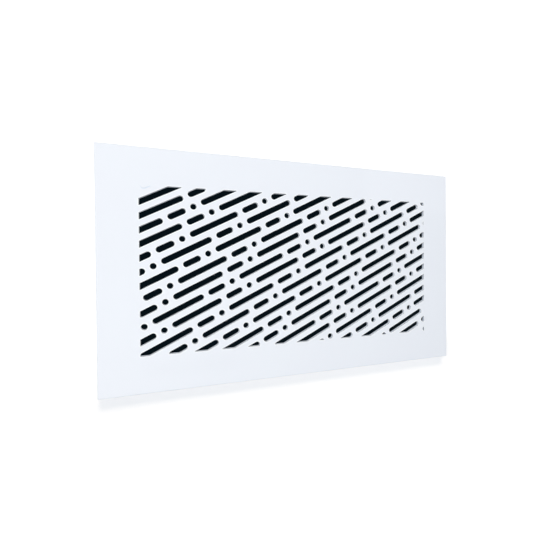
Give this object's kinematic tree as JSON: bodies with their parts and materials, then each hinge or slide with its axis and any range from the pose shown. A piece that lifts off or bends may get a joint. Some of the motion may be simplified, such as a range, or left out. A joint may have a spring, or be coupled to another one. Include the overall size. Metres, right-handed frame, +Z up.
{
  "type": "decorative vent cover",
  "caption": "Flat white vent cover with a plain border and a field of slanting slots and round holes, held to a steel grille by magnets in its back.",
  "frame": {"origin": "centre of the sheet, halfway through its thickness", "axes": "front faces -Y, back faces +Y towards the wall, +X to the viewer's right, +Z up as hung"},
  "size_m": [0.3748, 0.0032, 0.2204],
  "materials": {
    "sheet": "smooth gloss white",
    "magnet": "bright nickel plating"
  },
  "bodies": {
    "root": {"vent_sheet": "sheet", "magnet_top_left": "magnet", "magnet_top_middle": "magnet", "magnet_top_right": "magnet", "magnet_bottom_left": "magnet", "magnet_bottom_middle": "magnet", "magnet_bottom_right": "magnet"}
  },
  "joints": []
}
